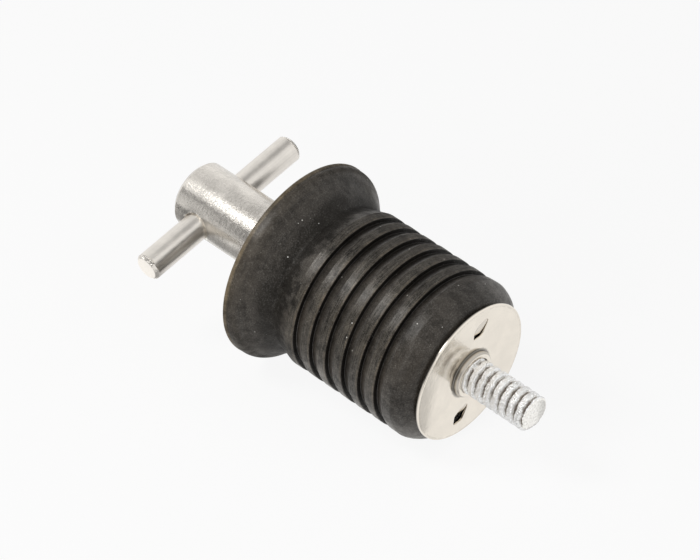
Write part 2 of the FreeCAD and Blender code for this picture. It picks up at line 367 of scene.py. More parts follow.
def opened(cells, top, bottom, number, wide):
    """Leaves a block of cells out of a grid, a quarter or three quarters of the way round, and gives the row
    and column numbers once round the block's edge."""
    middle = cells.shape[1] // 4 + number * cells.shape[1] // 2
    left, right = middle - wide, middle + wide
    cells[top:bottom, left:right] = False
    rows = np.concatenate([np.full(right - left, top), np.arange(top, bottom),
                           np.full(right - left, bottom), np.arange(bottom, top, -1)])
    columns = np.concatenate([np.arange(left, right), np.full(bottom - top, right),
                              np.arange(right, left, -1), np.full(bottom - top, left)])
    return rows, columns


def welded(name, sheets, faces=None):
    """A mesh of all the grids, with their shared points merged and every face turned outwards."""
    offsets = np.cumsum([0] + [part["mark"].size for part in sheets[:-1]])
    if faces is None:
        faces = np.vstack([grid_faces(*part["mark"].shape, part["cells"]) + offset
                           for part, offset in zip(sheets, offsets)])
    points = np.vstack([part["points"].reshape(-1, 3) for part in sheets])
    marks = np.concatenate([part["mark"].reshape(-1) for part in sheets])
    mesh = bpy.data.meshes.new(name)
    mesh.from_pydata(points.tolist(), [], faces.tolist())
    mesh.attributes.new("mark", "FLOAT", "POINT").data.foreach_set("value", marks)
    shell = bmesh.new()
    shell.from_mesh(mesh)
    bmesh.ops.remove_doubles(shell, verts=shell.verts, dist=WELD_DISTANCE)
    bmesh.ops.recalc_face_normals(shell, faces=shell.faces)
    shell.to_mesh(mesh)
    shell.free()
    mesh.polygons.foreach_set("use_smooth", np.ones(len(mesh.polygons), bool))
    return mesh


def in_scene(name, data):
    """A new object at the origin, linked to the scene."""
    thing = bpy.data.objects.new(name, data)
    bpy.context.scene.collection.objects.link(thing)
    return thing


def placed(name, sheets, material, body, node, faces=None):
    """Puts a finished piece in the scene, riding on its body in place of its solid."""
    piece = in_scene(name, welded(name, sheets, faces))
    piece.data.materials.append(material)
    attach(piece, body)
    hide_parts(node)
    return piece


def both_ways(operation):
    """An operator of Signal and its reflected form, in which the two sides trade places."""
    return (lambda left, right: left.maths(operation, left, right),
            lambda right, left: right.maths(operation, left, right))


class Signal:
    """A socket in a material's tree. Each operator between signals and numbers adds one Math node."""

    __add__, __radd__ = both_ways("ADD")
    __sub__, __rsub__ = both_ways("SUBTRACT")
    __mul__, __rmul__ = both_ways("MULTIPLY")
    __truediv__, __rtruediv__ = both_ways("DIVIDE")

    def __init__(self, finish, socket):
        self.finish = finish
        self.socket = socket

    def maths(self, operation, *values):
        """A Math node with the given values on its sockets."""
        return self.finish.add("ShaderNodeMath", {"operation": operation}, dict(enumerate(values)))

    def other(self, output):
        """Another output of the same node."""
        return Signal(self.finish, self.finish.find(self.socket.node.outputs, output))

    def within(self, low, high):
        """0 at low, 1 at high, and an S-curve between them."""
        return self.finish.add("ShaderNodeMapRange", {"interpolation_type": "SMOOTHSTEP"},
                               {"Value": self, "From Min": low, "From Max": high})

    def __abs__(self):
        """The value without its sign."""
        return self.maths("ABSOLUTE", self)


class Finish:
    """A material, or the world, that is written as expressions on signals."""

    def __init__(self, name, world=None):
        self.material = world or bpy.data.materials.new(name)
        self.material.use_nodes = True
        self.tree = self.material.node_tree
        self.tree.nodes.clear()

    @staticmethod
    def find(sockets, key):
        """The socket with the given number, identifier or name."""
        if isinstance(key, int):
            return sockets[key]
        named = [s for s in sockets if s.identifier == key] or [s for s in sockets if s.name == key]
        return named[0]

    def add(self, kind, settings=None, values=None, output=0):
        """A node of the given type: its settings first, then a value or a link for each socket."""
        node = self.tree.nodes.new(kind)
        for name, setting in (settings or {}).items():
            setattr(node, name, setting)
        for key, value in (values or {}).items():
            socket = self.find(node.inputs, key)
            if isinstance(value, Signal):
                self.tree.links.new(value.socket, socket)
            else:
                socket.default_value = value
        return Signal(self, self.find(node.outputs, output)) if len(node.outputs) else node

    def mix(self, factor, first, second, blend="MIX"):
        """A colour between two: the first where the factor is 0, and the second where it is 1."""
        return self.add("ShaderNodeMix", {"data_type": "RGBA", "blend_type": blend},
                        {"Factor_Float": factor, "A_Color": paint(first), "B_Color": paint(second)},
                        "Result_Color")

    def toned(self, colour_in, tone):
        """The colour made lighter or darker by a tone round 1."""
        grey = self.add("ShaderNodeCombineColor", {}, {0: tone, 1: tone, 2: tone})
        return self.mix(1.0, colour_in, grey, "MULTIPLY")

    def plug_coordinates(self):
        """Millimetres along the plug's axis from the flange's face, to the back, and to the top."""
        turned = Matrix.Rotation(-DIP, 3, "Y")
        origin = turned @ Vector(FLANGE_CENTRE / MM)
        where = self.add("ShaderNodeTexCoord", output="Object")
        return self.add("ShaderNodeMapping", {"vector_type": "POINT"},
                        {"Vector": where, "Location": -origin, "Rotation": (0.0, -DIP, 0.0),
                         "Scale": (1 / MM, 1 / MM, 1 / MM)})

    def stretched(self, where, x, y, z):
        """The co-ordinates times a number for each direction."""
        return self.add("ShaderNodeVectorMath", {"operation": "MULTIPLY"}, {0: where, 1: (x, y, z)})

    def reach(self, where, x, y, z):
        """How far a point is from the middle, with each direction stretched first."""
        return self.add("ShaderNodeVectorMath", {"operation": "LENGTH"},
                        {0: self.stretched(where, x, y, z)}, "Value")

    def parted(self, where):
        """The co-ordinates apart: the way along, and the others by their names."""
        return self.add("ShaderNodeSeparateXYZ", {}, {0: where})

    def mark(self):
        """The number that the mesh carries at each point for its finish."""
        return self.add("ShaderNodeAttribute", {"attribute_name": "mark"}, {}, "Fac")

    def turned_about_plug(self, where, angle):
        """The plug's co-ordinates turned about its axis, so that the second one runs along the angle."""
        return self.add("ShaderNodeMapping", {"vector_type": "POINT"},
                        {"Vector": where, "Rotation": (-angle, 0.0, 0.0)})

    def noise(self, where, scale, detail=3.0, roughness=0.55):
        """Cloudy noise from 0 to 1, finer with a larger scale."""
        return self.add("ShaderNodeTexNoise", {},
                        {"Vector": where, "Scale": scale, "Detail": detail, "Roughness": roughness})

    def specks(self, where, scale, size, amount):
        """Round specks: near a cell's centre, and only in the given share of the cells."""
        cell = self.add("ShaderNodeTexVoronoi", {"feature": "F1"}, {"Vector": where, "Scale": scale})
        chosen = self.add("ShaderNodeSeparateColor", {}, {"Color": cell.other("Color")})
        return (1 - cell.within(size * 0.55, size)) * chosen.within(1 - amount - 0.01, 1 - amount)

    def seen_directly(self):
        """1 for the camera's rays, for reflections and through glass, and 0 for light that is thrown on."""
        path = self.add("ShaderNodeLightPath", {}, {}, "Is Camera Ray")
        seen = path.maths("MAXIMUM", path, path.other("Is Glossy Ray"))
        return path.maths("MAXIMUM", seen, path.other("Is Transmission Ray"))

    def bumped(self, height, depth):
        """The surface's normal, tilted by a height of the given depth."""
        return self.add("ShaderNodeBump", {}, {"Height": height, "Strength": 1.0, "Distance": depth})

    def ended(self, surface, kind="ShaderNodeOutputMaterial"):
        """Ends the tree in the given surface and hands the material over."""
        self.add(kind, {}, {"Surface": surface})
        return self.material

    def finished(self, **values):
        """Ends the tree in the one shader for the piece's surface."""
        return self.ended(self.add("ShaderNodeBsdfPrincipled", {},
                                   {key.replace("_", " "): value for key, value in values.items()}))

    def metal(self, base, rough, height, depth):
        """Ends the tree as bare metal."""
        return self.finished(Base_Color=base, Metallic=1.0, Roughness=rough,
                             Normal=self.bumped(height, depth))

    def glow(self, level):
        """White light of its own, as strong as the level."""
        return self.add("ShaderNodeEmission", {}, {"Color": WHITE, "Strength": level})


def paint(value):
    """A colour with full opacity, or a signal as it is."""
    return value if isinstance(value, Signal) else (*value[:3], 1.0)


def rubber_finish(sizes):
    """Satin moulded rubber: a clouded charcoal skin, finely ringed crests, painted shade in the grooves and
    the neck's crease, and white dust.

    The gloss is a coat, so that it can fade out where no lamp reaches down a groove or into the crease.
    """
    f = Finish("moulded_rubber")
    where = f.plug_coordinates()
    mark = f.mark()
    along = f.parted(where)
    across = f.reach(where, 0, 1, 1)
    cloud = f.noise(where, 0.18, 4.0, 0.6).within(0.34, 0.66)
    mottle = f.noise(where, 0.7, 5.0, 0.7).within(0.36, 0.64)
    grain = f.noise(where, 4.5, 3.0, 0.75).within(0.3, 0.7)
    lines = f.noise(f.stretched(where, 6.0, 0.35, 0.35), 1.0, 3.0).within(0.35, 0.65)
    on_crest = (0 - mark).within(0.3, 0.8)

    # Painted shade in the grooves: it is darker and reaches further up a groove's floor at the back, away
    # from the key lamp, and the last groove is lighter all round
    last = (sizes.neck_place + sizes.neck_length + sizes.ring_crest
            + sizes.ring_pitch * (sizes.ring_count - 1)) / MM
    from_light = (along.other("Y") / across).within(-0.6, 0.1) * (1 - along.within(last - 0.2, last) * 0.8)
    depth = mark + (from_light - 1) * 0.25
    groove_shade = depth.within(0.25, 0.48)
    # The neck's crease is painted dark as shade, with a wandering edge
    drift = along + (cloud - 0.5) * 2.0 + (mottle - 0.5) * 0.7
    crease = 1 - abs(drift - (sizes.neck_place / MM + 0.6)).within(1.2, 3.2)

    # Colour, from the plain skin to what is rubbed and worn, with painted shade in the grooves and the crease
    # and a painted highlight on the crests' rims
    # The crests' rims are painted lighter: partly wear, partly a painted highlight where their rounded edges
    # catch the light
    worn = mark.within(-0.9, -0.6) * (1 - mark.within(-0.4, 0.0)) * (mottle * 0.6 + 0.4)
    rubbed = f.mix(worn * 0.38, f.mix(on_crest, sizes.skin, sizes.crest), sizes.edge)
    # Painted shade: the groove colour on the shaded part of each groove's floor and in the neck's crease, and
    # the recess colour down each groove's wall and in the slits
    groove_shaded = f.mix(groove_shade, f.mix(crease * 0.95, rubbed, sizes.groove), sizes.groove)
    shaded = f.mix(mark.within(0.84, 0.96), groove_shaded, sizes.recess)
    rim = (1 - along.within(0.5, 1.0)) * across.within(16.7, 17.1)
    edged = f.mix(rim + (1 - along.within(0.8, 4.5)) * 0.12, shaded, sizes.edge)
    streaks = (lines - 0.5) * (on_crest + 0.5) * 0.6
    toned = f.toned(edged, cloud * 0.5 + mottle * 0.25 + grain * 0.35 + streaks + 0.38)

    # Dust, from a thin haze to single specks
    haze = grain.within(0.5, 1.0) * (mottle + 0.3) * (1 - groove_shade * 0.8) * 0.055
    fine = f.specks(where, 1.3, 0.10, 0.20) * 0.3
    coarse = f.specks(where, 0.62, 0.085, 0.30) * (1 - mark.within(0.6, 0.9))
    for layer in (haze, fine, coarse):
        toned = f.mix(layer, toned, sizes.dust)

    glints = (grain - 0.5) * 0.38 + (lines - 0.5) * on_crest * 0.3
    sheen = (cloud * 0.2 + mottle * 0.25 + glints + 0.36) * (1 - depth.within(0.38, 0.56))
    return f.finished(
        Base_Color=toned, Roughness=(1 - mottle) * 0.14 + (1 - cloud) * 0.10 + grain * 0.06 + 0.30,
        Coat_Weight=sheen * (1 - crease * 0.75), Coat_Roughness=0.38,
        Coat_Tint=(1.0, 0.95, 0.88, 1.0), Specular_IOR_Level=0.12, Specular_Tint=(1.0, 0.93, 0.85, 1.0),
        Normal=f.bumped(grain * 0.3 + mottle * 0.5 + lines * 0.2, 0.00004))


def barrel_finish(sizes, bar):
    """Satin turned metal with fine lathe lines round it and a pitted, speckled skin, chipped bright at the
    rim of the cross hole and a little darker round it, partly grime and partly painted contact shade."""
    f = Finish("turned_metal")
    where = f.plug_coordinates()
    place = (sizes.whole_length - sizes.bar_from_end) / MM
    shifted = f.add("ShaderNodeVectorMath", {"operation": "ADD"}, {0: where, 1: (place, 0.0, 0.0)})
    hole = bar.outer_dia / MM / 2
    from_bar = f.reach(f.turned_about_plug(shifted, bar.angle), 1, 0, 1)
    chips = f.noise(where, 1.3, 2.0).within(0.42, 0.56)
    rim = (1 - abs(from_bar - hole - 0.2).within(0.15, 0.4)) * chips
    # A little darker round the hole: grime, and painted shade where the bar meets the barrel
    dull = (1 - (from_bar - hole).within(0.3, 1.4)) * 0.3
    rings = f.noise(f.stretched(where, 5.0, 0.3, 0.3), 1.2, 3.0)
    pits = f.noise(where, 2.3, 3.0, 0.6)
    cloud = f.noise(f.stretched(where, 0.6, 1.0, 1.0), 0.5, 3.0)
    tone = (rings - 0.5) * 0.25 + (pits - 0.5) * 0.4 + (cloud - 0.5) * 0.7 + 1.02 + rim * 0.7 - dull
    return f.metal(f.toned(sizes.metal, tone), (pits - 0.5) * 0.2 + 0.25, rings * 0.25 + pits * 0.75,
                   0.00005)


def bar_finish(sizes, metal):
    """Satin drawn rod with fine lines along its length, end faces painted brighter as a painted reflection,
    and a roughly cut bevel.
    """
    f = Finish("drawn_rod")
    where = f.turned_about_plug(f.plug_coordinates(), sizes.angle)
    lines = f.noise(f.stretched(where, 3.0, 0.08, 3.0), 1.5, 2.0)
    cloud = f.noise(where, 0.7, 3.0)
    from_middle = abs(f.parted(where).other("Y"))
    half = sizes.whole_length / MM / 2
    face = from_middle.within(half - 0.05, half - 0.02)
    bevel = from_middle.within(half - 0.65, half - 0.5) * (1 - face)
    facets = f.noise(where, 1.0, 1.0).within(0.40, 0.60) * bevel
    # The end faces are painted brighter: a painted reflection of the pale floor
    tone = (lines - 0.5) * 0.25 + (cloud - 0.5) * 0.3 + 1.12 + face * 0.28
    return f.metal(f.toned(metal, tone), (cloud - 0.5) * 0.15 + 0.33, lines * 0.03 + facets, 0.0002)


def screw_finish(sizes, last):
    """Bright rolled thread: torn, glinting crests, brown grime down in the roots, and a plain end face
    painted darker as shade.
    """
    f = Finish("rolled_thread")
    where = f.plug_coordinates()
    along = f.parted(where)
    nicks = f.noise(where, 2.4, 5.0, 0.7)
    fine = f.noise(where, 6.5, 3.0, 0.7)
    patches = f.noise(where, 0.45, 3.0, 0.6)
    torn = f.noise(f.stretched(where, 4.5, 1.3, 1.3), 1.0, 4.0, 0.7)
    threaded = 1 - along.within(last / MM - 0.25, last / MM - 0.05)
    outer_end = along.within(last / MM - 7.0, last / MM - 3.0)
    settled = (patches + (nicks - 0.5) * 0.6 + outer_end * 0.35).within(0.34, 0.50)
    grime = f.mark().within(0.45, 0.95) * settled
    tears = (1 - abs(torn - 0.5).within(0.0, 0.026)) * threaded
    flecks = fine.within(0.56, 0.61) * threaded
    # The end face, where the thread stops, is painted darker than the thread as shade, so that it stays off
    # white
    tone = (nicks - 0.5) * 1.1 + (fine - 0.5) * 0.5 + 0.96 + threaded * 0.40 - tears * 0.75 - flecks * 0.65
    return f.metal(f.mix(grime * 0.85, f.toned(sizes.metal, tone), sizes.grime),
                   grime * 0.3 + (fine - 0.5) * 0.2 + 0.12, (nicks * 0.6 + fine * 0.4) * threaded, 0.00026)


def plate_finish(name, metal):
    """Polished nickel plate, faintly clouded, finely scratched and spotted, and darker where it is marked, as
    painted shade and painted dark reflection.
    """
    f = Finish(name)
    where = f.plug_coordinates()
    cloud = f.noise(where, 0.30, 4.0, 0.6)
    haze = f.noise(where, 1.6, 3.0)
    scratch = f.noise(f.stretched(where, 1.0, 9.0, 0.7), 1.4, 3.0)
    spots = f.specks(where, 0.7, 0.05, 0.3)
    # Painted shade and painted dark reflection where the plate is marked
    tone = ((cloud - 0.5) * 0.2 + (scratch - 0.5) * 0.06 + 1.0 - spots * 0.4) * (1 - f.mark() * 0.85)
    return f.metal(f.toned(metal, tone), (haze - 0.5) * 0.12 + 0.15, cloud * 0.8 + haze * 0.2, 0.00004)


def kite_reach(angle, sizes, margin):
    """How far a spur's outline lies from its middle in a direction.

    Each side is kept as its outward normal and its distance from the middle, grown by the margin. The
    sides' shares are added as high powers, so the outline is the kite with its corners rounded.
    """
    sharpness = 7
    half, fold, wide = sizes.spur_length / 2, sizes.spur_fold / 2, sizes.spur_width / 2
    widest = sizes.spur_length * (sizes.spur_shoulder - 0.5)
    corners = np.array([[-half, -fold], [widest, -wide], [half, 0.0], [widest, wide], [-half, fold]])
    side = np.roll(corners, -1, axis=0) - corners
    normal = np.stack([side[:, 1], -side[:, 0]], axis=1) / np.linalg.norm(side, axis=1, keepdims=True)
    away = (normal * corners).sum(axis=1) + margin
    shares = np.maximum(headings(angle) @ normal.T / away, 0) ** sharpness
    return shares.sum(axis=-1) ** (-1 / sharpness)


def spur_middle(sizes, number):
    """Where a spur's middle stands across the axis. The second spur is half a turn from the first."""
    return headings(sizes.spur_place + number * math.pi) * sizes.spur_circle / 2


def pierced_face(along, radii, columns, sizes, margin, half_width):
    """A flat ring across the axis with an opening for each spur.

    The ring is a grid of radius and angle. A block of cells round each spur is left out, and the strip
    between the block's edge and the spur's outline is a straight blend of the two.
    """
    flat = radii[:, None, None] * headings(round_angles(columns, sizes.spur_place - math.pi / 2))
    cells = np.ones((len(radii) - 1, columns), bool)
    reach = sizes.spur_circle / 2
    top, bottom = (int(np.argmin(abs(radii - (reach + side)))) for side in (-half_width, half_width))
    wide = int(half_width / reach / TAU * columns)
    blend = np.linspace(0, 1, STRIP_ROWS)[:, None, None]
    strips, outlines = [], []
    for number in range(2):
        edge = flat[opened(cells, top, bottom, number, wide)]
        middle = spur_middle(sizes, number)
        turned = np.arctan2(edge[:, 1] - middle[1], edge[:, 0] - middle[0]) - sizes.spur_direction
        outline = (middle + kite_reach(turned, sizes, margin)[:, None]
                   * headings(turned + sizes.spur_direction))
        strips.append(sheet(flat_points(along, edge * (1 - blend) + outline * blend)))
        outlines.append((middle, outline))
    return [sheet(flat_points(along, flat), keep=cells)] + strips, outlines


def stopper_outline(sizes, washer):
    """The stopper's outline as (along, radius), from the bore's end round by the flange to the end face."""
    body, bore, seat, rim = (dia / 2 for dia in (sizes.body_dia, sizes.bore_dia, sizes.seat_dia,
                                                 sizes.flange_dia))
    first = sizes.neck_place + sizes.neck_length
    wall = first + sizes.ring_crest + sizes.ring_pitch * np.arange(sizes.ring_count)
    rings = np.stack([
        np.stack([wall, wall + sizes.groove_draft, wall + sizes.ring_pitch - sizes.ring_crest], axis=1),
        np.broadcast_to([body, body - sizes.groove_depth, body], (sizes.ring_count, 3)),
    ], axis=2).reshape(-1, 2)
    land_end = [sizes.land, rim - sizes.land_taper]
    flare = [sizes.land + sizes.shoulder_length, sizes.shoulder_dia / 2]
    shoulder = bow(land_end, flare, sizes.shoulder_rise, SHOULDER_STEPS)
    swollen, rubber_end = body + sizes.end_swell, rubber_length(sizes)
    dome = bow([rubber_end - sizes.end_length, swollen], [rubber_end, swollen - sizes.end_drop],
               sizes.end_rise, DOME_STEPS)
    corners = np.vstack([
        [rubber_end, bore], [washer.thickness, bore], [washer.thickness, seat], [0, seat], [0, rim], land_end,
        shoulder[1:], [sizes.neck_place, sizes.neck_dia / 2], [first, body], rings, dome])
    seat_rounds, land_round, neck_rounds = [0.1 * MM, 0.15 * MM, 0.25 * MM], 0.25 * MM, [0.9 * MM, 0.4 * MM]
    groove_rounds, dome_round = [sizes.crest_round, 0.13 * MM, 0.35 * MM], 0.8 * MM
    return softened(corners, seat_rounds + [sizes.rim_round, land_round] + [0] * SHOULDER_STEPS + neck_rounds
                    + groove_rounds * sizes.ring_count + [dome_round] + [0] * (DOME_STEPS - 1))


class DRAINPLUG_OT_stopper(bpy.types.Operator):
    """Makes the ringed rubber stopper at one length, though the real one is squeezed short as the plate is
    drawn in
    """
    bl_idname = "drain_plug.stopper"
    bl_label = "Rubber stopper"

    def execute(self, context):
        """The skin is the outline carried round the plug's axis, with the ripple added to its radius. A face
        with two slits closes it at the plate's end, and a pocket goes in from each slit."""
        sizes, plate = context.scene.drain_plug_stopper, context.scene.drain_plug_plate
        rubber_end, bore = rubber_length(sizes), sizes.bore_dia / 2
        outline = filled(stopper_outline(sizes, context.scene.drain_plug_washer), SKIN_STEP)
        along, radius = outline[:, :1], outline[:, 1:]
        angle = round_angles(STOPPER_COLUMNS, plate.spur_place - math.pi / 2)
        # The skin waves only outside the flange's middle, and stops waving at both of its ends
        outside = np.clip((radius - bore - STILL_MIDDLE) / MM, 0, 1) * np.clip(along / MM, 0, 1)
        shift = (sizes.wear * ripple(along, angle, SKIN_WAVES) * outside
                 * np.clip((rubber_end - along) / MM, 0, 1))
        points = on_plug(along, radius + shift, angle)
        # The soft rubber lies a little flat on the surface under it
        points[..., 2] = np.maximum(points[..., 2], 0.0)
        skin = sheet(points, mark=groove_mark(along, radius, sizes))
        radii = np.linspace(bore, outline[-1, 1], END_ROWS)
        face, slits = pierced_face(rubber_end, radii, STOPPER_COLUMNS, plate, SLIT_GAP, SLIT_BLOCK)
        pockets = [pocket(rubber_end, middle, edge, SLIT_DEPTH) for middle, edge in slits]
        piece = placed("rubber_body", [skin] + face + pockets, rubber_finish(sizes), "stopper",
                       "rubber_stopper")
        1 - PLATE_DRAW["range_m"][1] / rubber_end
        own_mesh(piece)
        return {"FINISHED"}


def groove_mark(along, radius, sizes):
    """-1 on a ring's crest, -0.5 on its rim, which is painted lighter as wear and as a painted highlight, 0
    on plain skin, 0.35 to 0.7 with the depth of a groove's floor, and 0.7 to 1 down its wall."""
    first, body = sizes.neck_place + sizes.neck_length, sizes.body_dia / 2
    ringed = ((radius > (sizes.body_dia + sizes.bore_dia) / 4) & (along > first)
              & (along < first + sizes.ring_pitch * sizes.ring_count))
    way = np.mod(along - first, sizes.ring_pitch)
    depth = np.clip((body - radius) / sizes.groove_depth, 0, 1)
    groove = ringed & (way >= sizes.ring_crest)
    wall = groove & (way < sizes.ring_crest + sizes.groove_draft) & (depth > 0.1)
    crest = ringed & (way < sizes.ring_crest) & (radius > body - 0.03 * MM)
    rim = crest & (way > sizes.ring_crest - 0.22 * MM)
    return np.select([rim, crest, wall, groove], [-0.5, -1.0, 0.7 + 0.3 * depth, 0.35 + 0.35 * depth], 0.0)


def pocket(along, middle, edge, depth):
    """A slit cut straight in from an outline: its wall goes down, then its floor closes on its middle."""
    down = np.array([0, 0.5, 1, 1, 1])[:, None]
    inward = np.array([0, 0, 0, 0.5, 1])[:, None, None]
    # The slit carries the mark of a groove's wall, so it is painted with the recess shade
    return sheet(flat_points(along - down * depth, edge * (1 - inward) + middle * inward), mark=1.0)


class DRAINPLUG_OT_washer(bpy.types.Operator):
    """Makes the flat washer that the barrel turns on"""
    bl_idname = "drain_plug.washer"
    bl_label = "Thrust washer"

    def execute(self, context):
        """The washer is its section's outline, softened at the corners and carried round the plug's axis."""
        sizes = context.scene.drain_plug_washer
        bore, outer, thick = sizes.bore_dia / 2, sizes.outer_dia / 2, sizes.thickness
        middle = (bore + outer) / 2
        corners = [[thick, middle], [thick, bore], [0, bore], [0, outer], [thick, outer], [thick, middle]]
        outline = filled(softened(corners, [sizes.edge_round] * 4))
        placed("washer_ring", [lathe(outline, WASHER_COLUMNS)], plate_finish("washer_metal", sizes.metal),
               "stopper", "thrust_washer")
        return {"FINISHED"}


class DRAINPLUG_OT_barrel(bpy.types.Operator):
    """Makes the turned barrel of the T-handle, with its cross hole and its tapped hole"""
    bl_idname = "drain_plug.barrel"
    bl_label = "Handle barrel"

    def execute(self, context):
        """The barrel is two turned ends and the band between them. A block of the band's cells is left out
        at each end of the cross hole, where cross_hole fills it in."""
        sizes, bar = context.scene.drain_plug_barrel, context.scene.drain_plug_bar
        outer, tapped = sizes.outer_dia / 2, sizes.tapped_dia / 2
        end, mouth, dull = -sizes.whole_length, sizes.mouth_chamfer, sizes.edge_round
        place = end + sizes.bar_from_end
        point = tapped / math.tan(DRILL_POINT / 2)
        free_end = softened([[end, 0], [end, outer - sizes.chamfer], [end + sizes.chamfer, outer],
                             [place - HALF_BAND, outer]], [dull] * 2)
        screw_end = softened([[place + HALF_BAND, outer], [-sizes.chamfer, outer], [0, outer - sizes.chamfer],
                              [0, tapped + mouth], [-mouth, tapped], [-sizes.tapped_depth, tapped],
                              [-sizes.tapped_depth - point, 0]], [dull, dull, 0.1 * MM, 0.05 * MM, 0])
        start = bar.angle - math.pi / 2
        ends = [lathe(filled(outline), BARREL_COLUMNS, start) for outline in (free_end, screw_end)]
        rows = np.linspace(place - HALF_BAND, place + HALF_BAND, BAND_ROWS)
        angle = round_angles(BARREL_COLUMNS, start)
        wide = int(HOLE_BLOCK / TAU * BARREL_COLUMNS)
        cells = np.ones((BAND_ROWS - 1, BARREL_COLUMNS), bool)
        strips = []
        for number in range(2):
            row, column = opened(cells, 0, BAND_ROWS - 1, number, wide)
            strips.append(cross_hole(rows[row] - place, angle[column] - bar.angle - number * math.pi,
                                     bar.angle + number * math.pi, place, sizes, bar))
        band = sheet(on_plug(rows[:, None], outer, angle), keep=cells)
        placed("barrel_turned", ends + [band] + strips, barrel_finish(sizes, bar), "handle", "handle_barrel")
        return {"FINISHED"}


def cross_hole(along, angle, towards, place, sizes, bar):
    """One end of the cross hole, from the edge of a block of the barrel's side to the barrel's middle.

    Across the hole a point is the way along the barrel and the way sideways, and on the barrel's side its
    height is the root of the barrel's radius squared less the sideways way squared. The strip blends from
    the block's edge to a circle, the rim rolls over as a quarter circle, and then the tube goes down.
    """
    outer, flare = sizes.outer_dia / 2, sizes.hole_flare
    hole = bar.outer_dia / 2 + sizes.hole_clearance
    tube_heights = np.array([0.8, 0.4, 0.0])[:, None]
    edge = np.stack([along, outer * np.sin(angle)], axis=1)
    circle = headings(np.arctan2(edge[:, 1], edge[:, 0]))
    blend = np.linspace(0, 1, STRIP_ROWS)[:, None, None] ** 0.8
    roll = np.linspace(0, math.pi / 2, ROLL_ROWS)[1:, None, None]
    across = np.concatenate([
        edge * (1 - blend) + circle * (hole + flare) * blend,
        circle * (hole + flare * (1 - np.sin(roll))),
        np.broadcast_to(circle * hole, (len(tube_heights), *circle.shape))])
    drop = np.concatenate([np.zeros(STRIP_ROWS), flare * (1 - np.cos(roll[:, 0, 0])),
                           np.full(len(tube_heights), flare)])[:, None]
    height = np.sqrt(outer ** 2 - across[..., 1] ** 2) - drop
    height[-len(tube_heights):] *= tube_heights
    return sheet(FLANGE_CENTRE + (place + across[..., :1]) * ALONG + height[..., None] * outwards(towards)
                 + across[..., 1:] * outwards(towards + math.pi / 2))


class DRAINPLUG_OT_cross_bar(bpy.types.Operator):
    """Makes the round cross bar of the T-handle"""
    bl_idname = "drain_plug.cross_bar"
    bl_label = "Cross bar"

    def execute(self, context):
        """The bar's outline is carried round its own axis: the bar's middle, plus the way along the bar,
        plus the radius turned by the angle from the plug's axis."""
        sizes, barrel = context.scene.drain_plug_bar, context.scene.drain_plug_barrel
        half, radius, chamfer = sizes.whole_length / 2, sizes.outer_dia / 2, sizes.chamfer
        corners = [[-half, 0], [-half, radius - chamfer], [chamfer - half, radius], [half - chamfer, radius],
                   [half, radius - chamfer], [half, 0]]
        outline = filled(softened(corners, [sizes.edge_round] * 4))
        angle = round_angles(BAR_COLUMNS)[None, :]
        run = outwards(sizes.angle)
        out = np.cos(angle)[..., None] * ALONG + np.sin(angle)[..., None] * np.cross(run, ALONG)
        middle = FLANGE_CENTRE + (barrel.bar_from_end - barrel.whole_length) * ALONG
        points = middle + outline[:, :1, None] * run + outline[:, 1:, None] * out
        placed("cross_bar_rod", [sheet(points)], bar_finish(sizes, barrel.metal), "handle", "cross_bar")
        return {"FINISHED"}


class DRAINPLUG_OT_screw(bpy.types.Operator):
    """Makes the coarse threaded screw, whose thread runs from the barrel out through the plate"""
    bl_idname = "drain_plug.screw"
    bl_label = "Drive screw"

    def execute(self, context):
        """The thread is one helical grid.

        A point's way along is the pitch times its row's share and its angle's share of a turn, so each row
        follows the thread, and a row's end meets the row one pitch further on. Past either end the way
        along is held at the end and the radius falls to nothing over one pitch, which closes the end.
        """
        sizes, plate = context.scene.drain_plug_screw, context.scene.drain_plug_plate
        pitch, outer, root = sizes.pitch, sizes.outer_dia / 2, sizes.root_dia / 2
        first = -sizes.in_barrel
        last = rubber_length(context.scene.drain_plug_stopper) + plate.thickness + sizes.beyond_plate
        spare, per_pitch, columns = 2, THREAD_ROWS, THREAD_COLUMNS
        rows = math.ceil(((last - first) / pitch + 2 * spare) * per_pitch)
        row = np.arange(rows + 1)[:, None]
        column = np.arange(columns)[None, :]
        along = first - spare * pitch + pitch * (row / per_pitch + column / columns)
        held = np.clip(along, first, last)
        phase = np.mod(held / pitch - column / columns, 1)
        # The crest's edges wander and its top is torn and chipped, but only where it stands outside
        torn = np.clip((held - TORN_FROM) / TORN_WITHIN, 0, 1)
        ragged = ripple(held / pitch, column * TAU / columns, TORN_WAVES) * sizes.tear * torn
        from_crest = abs(phase - 0.5) * 2 + ragged
        fall = np.clip((from_crest - sizes.crest_share) / (1 - sizes.root_share - sizes.crest_share), 0, 1)
        fall = fall * fall * (3 - 2 * fall)
        bevel = outer - sizes.end_chamfer + np.minimum(held - first, last - held)
        chips = (np.random.default_rng(CHIP_SEED).random(held.shape) ** 3 * sizes.chip_depth * torn
                 * (1 - fall))
        radius = np.minimum(outer - (outer - root) * fall - abs(ragged) * sizes.tear_depth - chips, bevel)
        radius = radius * np.maximum(1 - abs(along - held) / pitch, 0)
        points = on_plug(held, radius, column * TAU / columns)
        row, column = (grid.reshape(-1) for grid in np.mgrid[0:rows - per_pitch, 0:columns])
        beside = np.where(column == columns - 1, per_pitch * columns - columns + 1, 1)
        corner = row * columns + column
        faces = np.stack([corner, corner + beside, corner + beside + columns, corner + columns], axis=1)
        placed("screw_thread", [sheet(points, mark=fall * (along == held))], screw_finish(sizes, last),
               "handle", "drive_screw", faces)
        return {"FINISHED"}


def rubber_length(sizes):
    """From the flange's outer face to the end that the plate lies against."""
    return (sizes.neck_place + sizes.neck_length + sizes.ring_pitch * sizes.ring_count + sizes.end_land
            + sizes.end_length)


